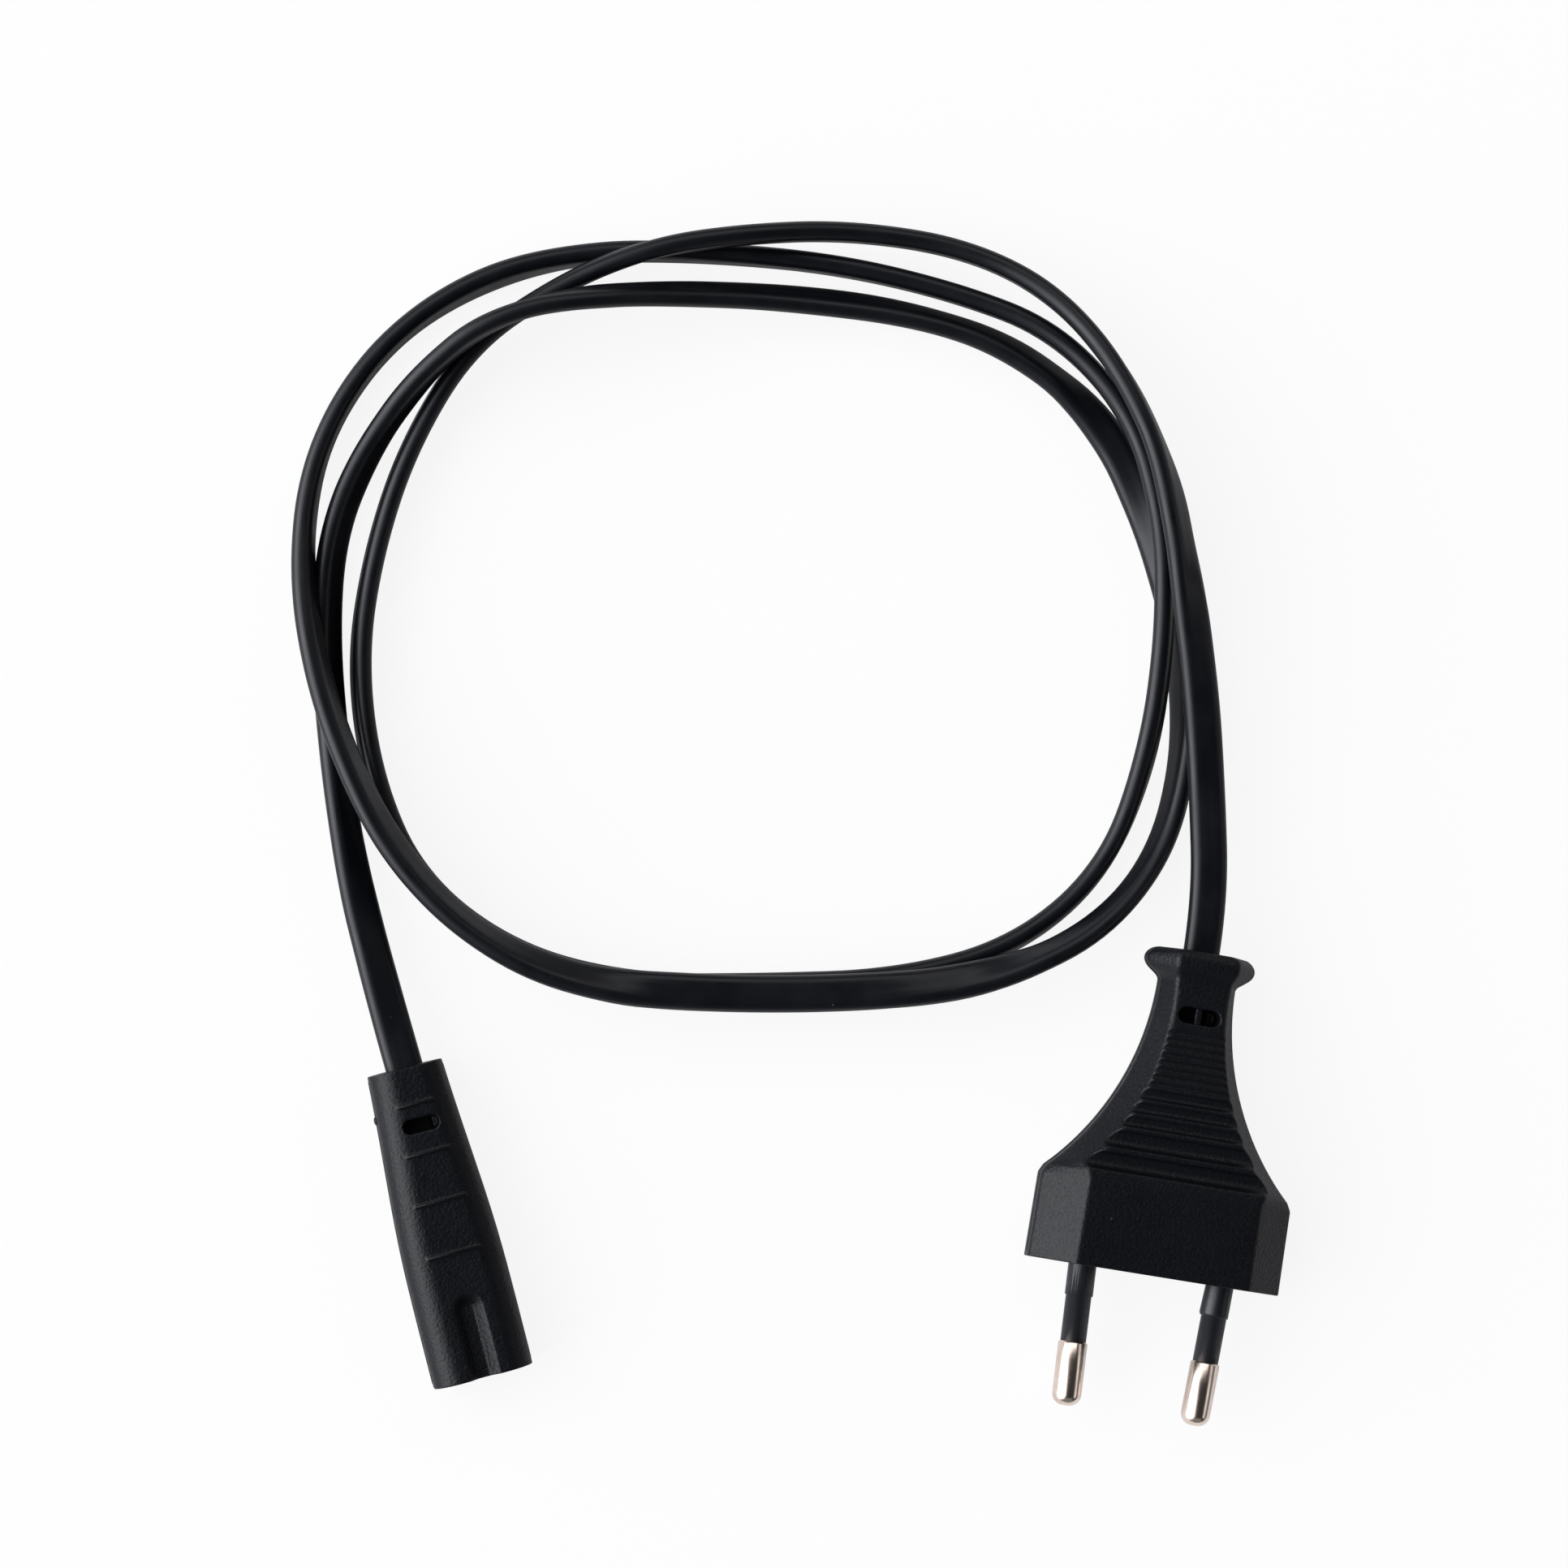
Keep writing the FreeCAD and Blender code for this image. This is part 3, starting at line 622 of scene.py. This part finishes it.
def pale_floor():
    """Wide pale floor that shows white and keeps the object's shadow."""
    made, tree, shader = start_material("pale_floor")
    coords = node(tree, "ShaderNodeTexCoord").outputs["Object"]
    mottle = noise(tree, coords, scale=3.0, detail=3.0)
    tone = ramp(tree, mottle, [(0.3, (0.7, 0.7, 0.7)), (0.7, (0.72, 0.72, 0.72))])
    tree.links.new(tone, shader.inputs["Base Color"])
    shader.inputs["Roughness"].default_value = 0.9
    shader.inputs["Specular IOR Level"].default_value = 0.1
    white = node(tree, "ShaderNodeEmission", {"Color": (1.0, 1.0, 1.0, 1.0), "Strength": 1.0})
    ray = node(tree, "ShaderNodeLightPath").outputs
    mirrored = calculated(tree, "MAXIMUM", ray["Is Glossy Ray"], ray["Is Transmission Ray"])
    dimmed = calculated(tree, "MULTIPLY", mirrored, FLOOR_MIRRORED)
    seen = calculated(tree, "MULTIPLY", ray["Is Camera Ray"], FLOOR_SEEN)
    share = calculated(tree, "MAXIMUM", seen, dimmed)
    mixed = node(tree, "ShaderNodeMixShader", {
        0: share, 1: shader.outputs["BSDF"], 2: white.outputs["Emission"],
    })
    tree.links.new(mixed.outputs["Shader"], tree.nodes["Material Output"].inputs["Surface"])
    mesh = bpy.data.meshes.new("floor")
    turns = ((-1, -1), (1, -1), (1, 1), (-1, 1))
    corners = [(x * FLOOR_HALF, y * FLOOR_HALF, FLOOR_DROP) for x, y in turns]
    mesh.from_pydata(corners, [], [(0, 1, 2, 3)])
    mesh.materials.append(made)
    floor = bpy.data.objects.new("floor", mesh)
    scene.collection.objects.link(floor)


def room_light():
    """World that is dark overhead, pale along its low walls and bright, with soft edges, on its left."""
    world = bpy.data.worlds.new("room")
    scene.world = world
    world.use_nodes = True
    tree = world.node_tree
    background = tree.nodes["Background"]
    direction = node(tree, "ShaderNodeTexCoord").outputs["Generated"]
    height = node(tree, "ShaderNodeSeparateXYZ", {"Vector": direction}).outputs["Z"]
    walls = spread(tree, height, LOW_WALL, CEILING, 0.0, WALL_TOP)
    middle = -PHOTO_RIGHT * math.cos(BRIGHT_SIDE_RISE) + Vector((0, 0, 1)) * math.sin(BRIGHT_SIDE_RISE)
    facing = node(
        tree, "ShaderNodeVectorMath", {0: direction, 1: middle}, operation="DOT_PRODUCT"
    ).outputs["Value"]
    window = spread(tree, facing, 0.0, BRIGHT_SIDE, math.cos(BRIGHT_SIDE_EDGE), math.cos(BRIGHT_SIDE_CORE))
    light = calculated(tree, "ADD", walls, window)
    tinted = node(
        tree, "ShaderNodeVectorMath", {0: LIGHT_TINT, "Scale": light}, operation="SCALE"
    ).outputs["Vector"]
    tree.links.new(tinted, background.inputs["Color"])
    background.inputs["Strength"].default_value = 1.0


def softbox(name, bearing, elevation, size, power):
    """Soft area lamp that faces the object from a bearing in the plan."""
    lamp = bpy.data.lights.new(name, "AREA")
    lamp.shape = "RECTANGLE"
    lamp.size, lamp.size_y = size
    lamp.energy = power
    obj = bpy.data.objects.new(name, lamp)
    scene.collection.objects.link(obj)
    rise = math.radians(elevation)
    towards = bearing.normalized() * math.cos(rise) + Vector((0, 0, 1)) * math.sin(rise)
    obj.location = PHOTO_CENTRE + towards * LAMP_DISTANCE
    obj.rotation_euler = towards.to_track_quat("Z", "Y").to_euler()


def photo_camera():
    """Camera above the lead, at the photograph's angle and framing."""
    towards = CAMERA_SIDE.normalized()
    lens = bpy.data.cameras.new("camera")
    lens.sensor_width = SENSOR_WIDTH
    lens.lens = SENSOR_WIDTH * CAMERA_DISTANCE / PHOTO_WIDTH
    lens.clip_start, lens.clip_end = 0.05, 50.0
    camera = bpy.data.objects.new("camera", lens)
    scene.collection.objects.link(camera)
    right = PHOTO_UP.cross(towards).normalized()
    up = towards.cross(right)
    place = Matrix((right, up, towards)).transposed().to_4x4()
    place.translation = PHOTO_CENTRE + towards * CAMERA_DISTANCE
    camera.matrix_world = place
    scene.camera = camera


pale_floor()
room_light()
softbox("left_box", -PHOTO_RIGHT, elevation=24.0, size=(1.2, 0.6), power=6.4)
softbox("right_box", PHOTO_RIGHT, elevation=30.0, size=(1.2, 0.28), power=0.9)
softbox("upper_box", PHOTO_UP, elevation=44.0, size=(1.0, 0.45), power=2.4)
softbox("lower_box", -PHOTO_UP, elevation=30.0, size=(1.0, 0.5), power=0.3)
photo_camera()
